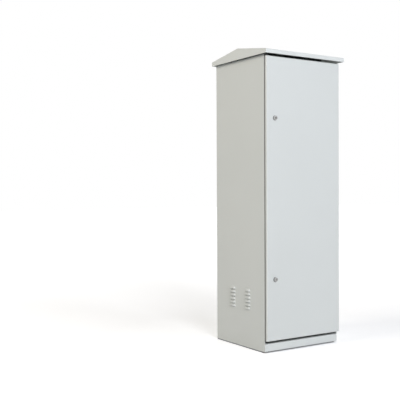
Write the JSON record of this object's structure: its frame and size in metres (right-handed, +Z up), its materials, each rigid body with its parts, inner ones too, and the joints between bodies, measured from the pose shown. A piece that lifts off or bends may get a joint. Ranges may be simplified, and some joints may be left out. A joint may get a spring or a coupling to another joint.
{
  "type": "roadside utility cabinet",
  "caption": "Tall light grey steel roadside cabinet with a gable canopy, an overlay door with round locks, side louvres and a plinth.",
  "frame": {"origin": "on the ground under the middle of the canopy", "axes": "+Z up, -Y out of the door, +X towards the hinge side"},
  "size_m": [0.646, 0.59, 1.9159],
  "materials": {
    "light_grey_paint": "satin",
    "zinc_plate": "satin",
    "lock_metal": "satin",
    "brass": "satin",
    "black_rubber": "matte"
  },
  "bodies": {
    "cabinet": {"left_side_panel": "light_grey_paint", "right_side_panel": "light_grey_paint", "back_panel": "light_grey_paint", "top_panel": "light_grey_paint", "top_rail": "light_grey_paint", "sill_rail": "light_grey_paint", "plinth_front": "light_grey_paint", "base_rail_left": "zinc_plate", "base_rail_right": "zinc_plate", "base_rail_rear": "zinc_plate", "floor_panel": "light_grey_paint", "gland_gasket": "black_rubber", "gland_plate": "zinc_plate", "gland_screws": "zinc_plate", "cable_grommets": "black_rubber", "roof_canopy": "light_grey_paint", "canopy_rib_left": "zinc_plate", "canopy_rib_right": "zinc_plate", "canopy_bolts": "zinc_plate", "canopy_nuts": "zinc_plate", "vent_screen_left": "zinc_plate", "vent_screen_right": "zinc_plate", "vent_screen_studs": "zinc_plate", "vent_screen_nuts": "zinc_plate", "mounting_plate": "zinc_plate", "plate_standoffs": "zinc_plate", "plate_nuts": "zinc_plate", "earth_stud": "brass", "earth_nuts": "brass", "lower_hinge_frame_leaf": "zinc_plate", "middle_hinge_frame_leaf": "zinc_plate", "upper_hinge_frame_leaf": "zinc_plate", "lower_hinge_pin": "lock_metal", "middle_hinge_pin": "lock_metal", "upper_hinge_pin": "lock_metal", "hinge_frame_screws": "zinc_plate", "hinge_frame_nuts": "zinc_plate"},
    "door": {"door_panel": "light_grey_paint", "door_stiffener_left": "zinc_plate", "door_stiffener_right": "zinc_plate", "door_seal": "black_rubber", "lower_hinge_door_leaf": "zinc_plate", "middle_hinge_door_leaf": "zinc_plate", "upper_hinge_door_leaf": "zinc_plate", "hinge_door_studs": "zinc_plate", "hinge_door_nuts": "zinc_plate", "upper_lock_housing": "lock_metal", "upper_lock_seal": "black_rubber", "upper_lock_nut": "zinc_plate", "lower_lock_housing": "lock_metal", "lower_lock_seal": "black_rubber", "lower_lock_nut": "zinc_plate"},
    "upper_lock": {"upper_lock_plug": "lock_metal", "upper_lock_cam": "zinc_plate", "upper_cam_bolt": "zinc_plate"},
    "lower_lock": {"lower_lock_plug": "lock_metal", "lower_lock_cam": "zinc_plate", "lower_cam_bolt": "zinc_plate"}
  },
  "joints": [
    {"name": "door_hinge", "type": "hinge", "parent": "cabinet", "child": "door", "pos_m": [0.2915, -0.2625, 0.9545], "axis": [0, 0, 1], "range_deg": [0, 110]},
    {"name": "upper_lock_turn", "type": "hinge", "parent": "door", "child": "upper_lock", "pos_m": [-0.237, -0.2475, 1.4525], "axis": [0, 1, 0], "range_deg": [0, 90]},
    {"name": "lower_lock_turn", "type": "hinge", "parent": "door", "child": "lower_lock", "pos_m": [-0.237, -0.2475, 0.4565], "axis": [0, 1, 0], "range_deg": [0, 90]}
  ]
}
